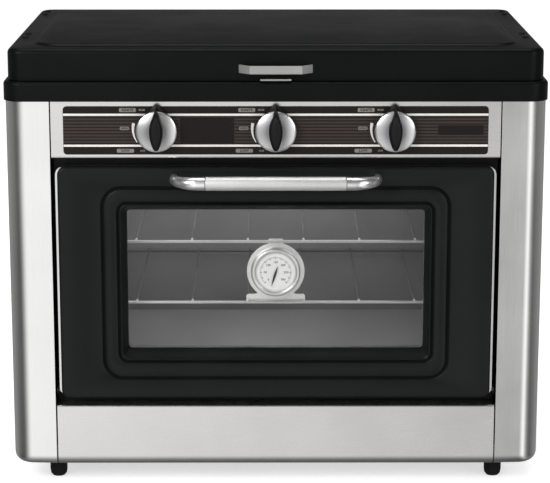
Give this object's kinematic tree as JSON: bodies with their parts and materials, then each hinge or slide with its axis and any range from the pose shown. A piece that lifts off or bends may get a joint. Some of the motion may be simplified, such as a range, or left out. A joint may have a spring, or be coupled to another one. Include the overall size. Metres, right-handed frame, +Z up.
{
  "type": "camping stove with oven",
  "caption": "Two-burner camping gas stove over an oven with a drop-down glass door, under a hinged lid, with push-and-turn knobs and carry handles.",
  "frame": {"origin": "centre of the bounding box on the surface under the feet", "axes": "+X to the right as seen from the front, -Y out of the front with knobs and door, +Z up"},
  "size_m": [0.5544, 0.4058, 0.4498],
  "materials": {
    "painted_black_steel": "satin black paint",
    "brushed_steel": "brushed stainless steel",
    "printed_plate": "dark printed aluminium plate",
    "galvanised_steel": "dull galvanised sheet",
    "chromed_wire": "polished chrome",
    "black_plastic": "moulded heat-proof plastic",
    "spun_trim": "spun brushed aluminium",
    "brass": "machined brass",
    "cast_aluminium": "cast, as poured",
    "burner_enamel": "black enamel",
    "oven_glass": "clear toughened glass",
    "dial_card": "white lacquered dial",
    "rubber": "moulded rubber"
  },
  "bodies": {
    "stove": {"hob_tray": "painted_black_steel", "oven_front_frame": "painted_black_steel", "handle_plate_left": "painted_black_steel", "handle_plate_right": "painted_black_steel", "side_panel_left": "brushed_steel", "side_panel_right": "brushed_steel", "base_front_panel": "brushed_steel", "back_panel": "brushed_steel", "control_fascia": "brushed_steel", "tray_hinge": "brushed_steel", "graphic_plate": "printed_plate", "base_pan": "galvanised_steel", "oven_liner": "galvanised_steel", "heat_plate": "galvanised_steel", "oven_rack_upper": "chromed_wire", "oven_rack_lower": "chromed_wire", "pan_grate": "chromed_wire", "thermometer_case": "chromed_wire", "gas_valve_left": "brass", "gas_valve_middle": "brass", "gas_valve_right": "brass", "hob_burner_left": "cast_aluminium", "hob_burner_right": "cast_aluminium", "manifold_pipe": "cast_aluminium", "oven_gas_pipe": "cast_aluminium", "oven_burner": "cast_aluminium", "burner_cap_left": "burner_enamel", "burner_cap_right": "burner_enamel", "thermometer_dial": "dial_card", "foot_front_left": "rubber", "foot_front_right": "rubber", "foot_rear_left": "rubber", "foot_rear_right": "rubber"},
    "lid": {"lid_shell": "painted_black_steel", "lid_handle": "brushed_steel", "lid_latch": "brushed_steel", "lid_hinge": "brushed_steel", "wind_guard_left": "painted_black_steel", "wind_guard_right": "painted_black_steel"},
    "door": {"door_panel": "painted_black_steel", "door_glass": "oven_glass", "door_liner": "brushed_steel", "door_handle_grip": "brushed_steel", "door_handle_end_left": "chromed_wire", "door_handle_end_right": "chromed_wire"},
    "gauge_needle": {"thermometer_needle": "black_plastic"},
    "carry_handle_left": {"carry_handle_left": "chromed_wire"},
    "carry_handle_right": {"carry_handle_right": "chromed_wire"},
    "tap_left": {"valve_plug_left": "brass"},
    "control_left": {"valve_stem_left": "chromed_wire", "knob_left": "black_plastic", "knob_trim_left": "spun_trim"},
    "tap_middle": {"valve_plug_middle": "brass"},
    "control_middle": {"valve_stem_middle": "chromed_wire", "knob_middle": "black_plastic", "knob_trim_middle": "spun_trim"},
    "tap_right": {"valve_plug_right": "brass"},
    "control_right": {"valve_stem_right": "chromed_wire", "knob_right": "black_plastic", "knob_trim_right": "spun_trim"}
  },
  "joints": [
    {"name": "lid_hinge", "type": "hinge", "parent": "stove", "child": "lid", "pos_m": [0, 0.19942, 0.415], "axis": [-1, 0, 0], "range_deg": [0, 95]},
    {"name": "door_hinge", "type": "hinge", "parent": "stove", "child": "door", "pos_m": [0, -0.15018, 0.0995], "axis": [1, 0, 0], "range_deg": [0, 90]},
    {"name": "needle_turn", "type": "hinge", "parent": "stove", "child": "gauge_needle", "pos_m": [0, -0.12978, 0.217], "axis": [0, 1, 0], "range_deg": [0, 290]},
    {"name": "carry_handle_left_swing", "type": "hinge", "parent": "stove", "child": "carry_handle_left", "pos_m": [-0.2728, 0.01582, 0.33], "axis": [0, 1, 0], "range_deg": [0, 90]},
    {"name": "carry_handle_right_swing", "type": "hinge", "parent": "stove", "child": "carry_handle_right", "pos_m": [0.2728, 0.01582, 0.33], "axis": [0, -1, 0], "range_deg": [0, 90]},
    {"name": "knob_left_turn", "type": "hinge", "parent": "stove", "child": "tap_left", "pos_m": [-0.1173, -0.15968, 0.368], "axis": [0, -1, 0], "range_deg": [0, 180]},
    {"name": "knob_left_push", "type": "slide", "parent": "tap_left", "child": "control_left", "axis": [0, 1, 0], "range_m": [0, 0.003], "stiffness_N_per_m": 800, "springref_m": -0.001},
    {"name": "knob_middle_turn", "type": "hinge", "parent": "stove", "child": "tap_middle", "pos_m": [0, -0.15968, 0.368], "axis": [0, -1, 0], "range_deg": [0, 180]},
    {"name": "knob_middle_push", "type": "slide", "parent": "tap_middle", "child": "control_middle", "axis": [0, 1, 0], "range_m": [0, 0.003], "stiffness_N_per_m": 800, "springref_m": -0.001},
    {"name": "knob_right_turn", "type": "hinge", "parent": "stove", "child": "tap_right", "pos_m": [0.1173, -0.15968, 0.368], "axis": [0, -1, 0], "range_deg": [0, 180]},
    {"name": "knob_right_push", "type": "slide", "parent": "tap_right", "child": "control_right", "axis": [0, 1, 0], "range_m": [0, 0.003], "stiffness_N_per_m": 800, "springref_m": -0.001}
  ]
}
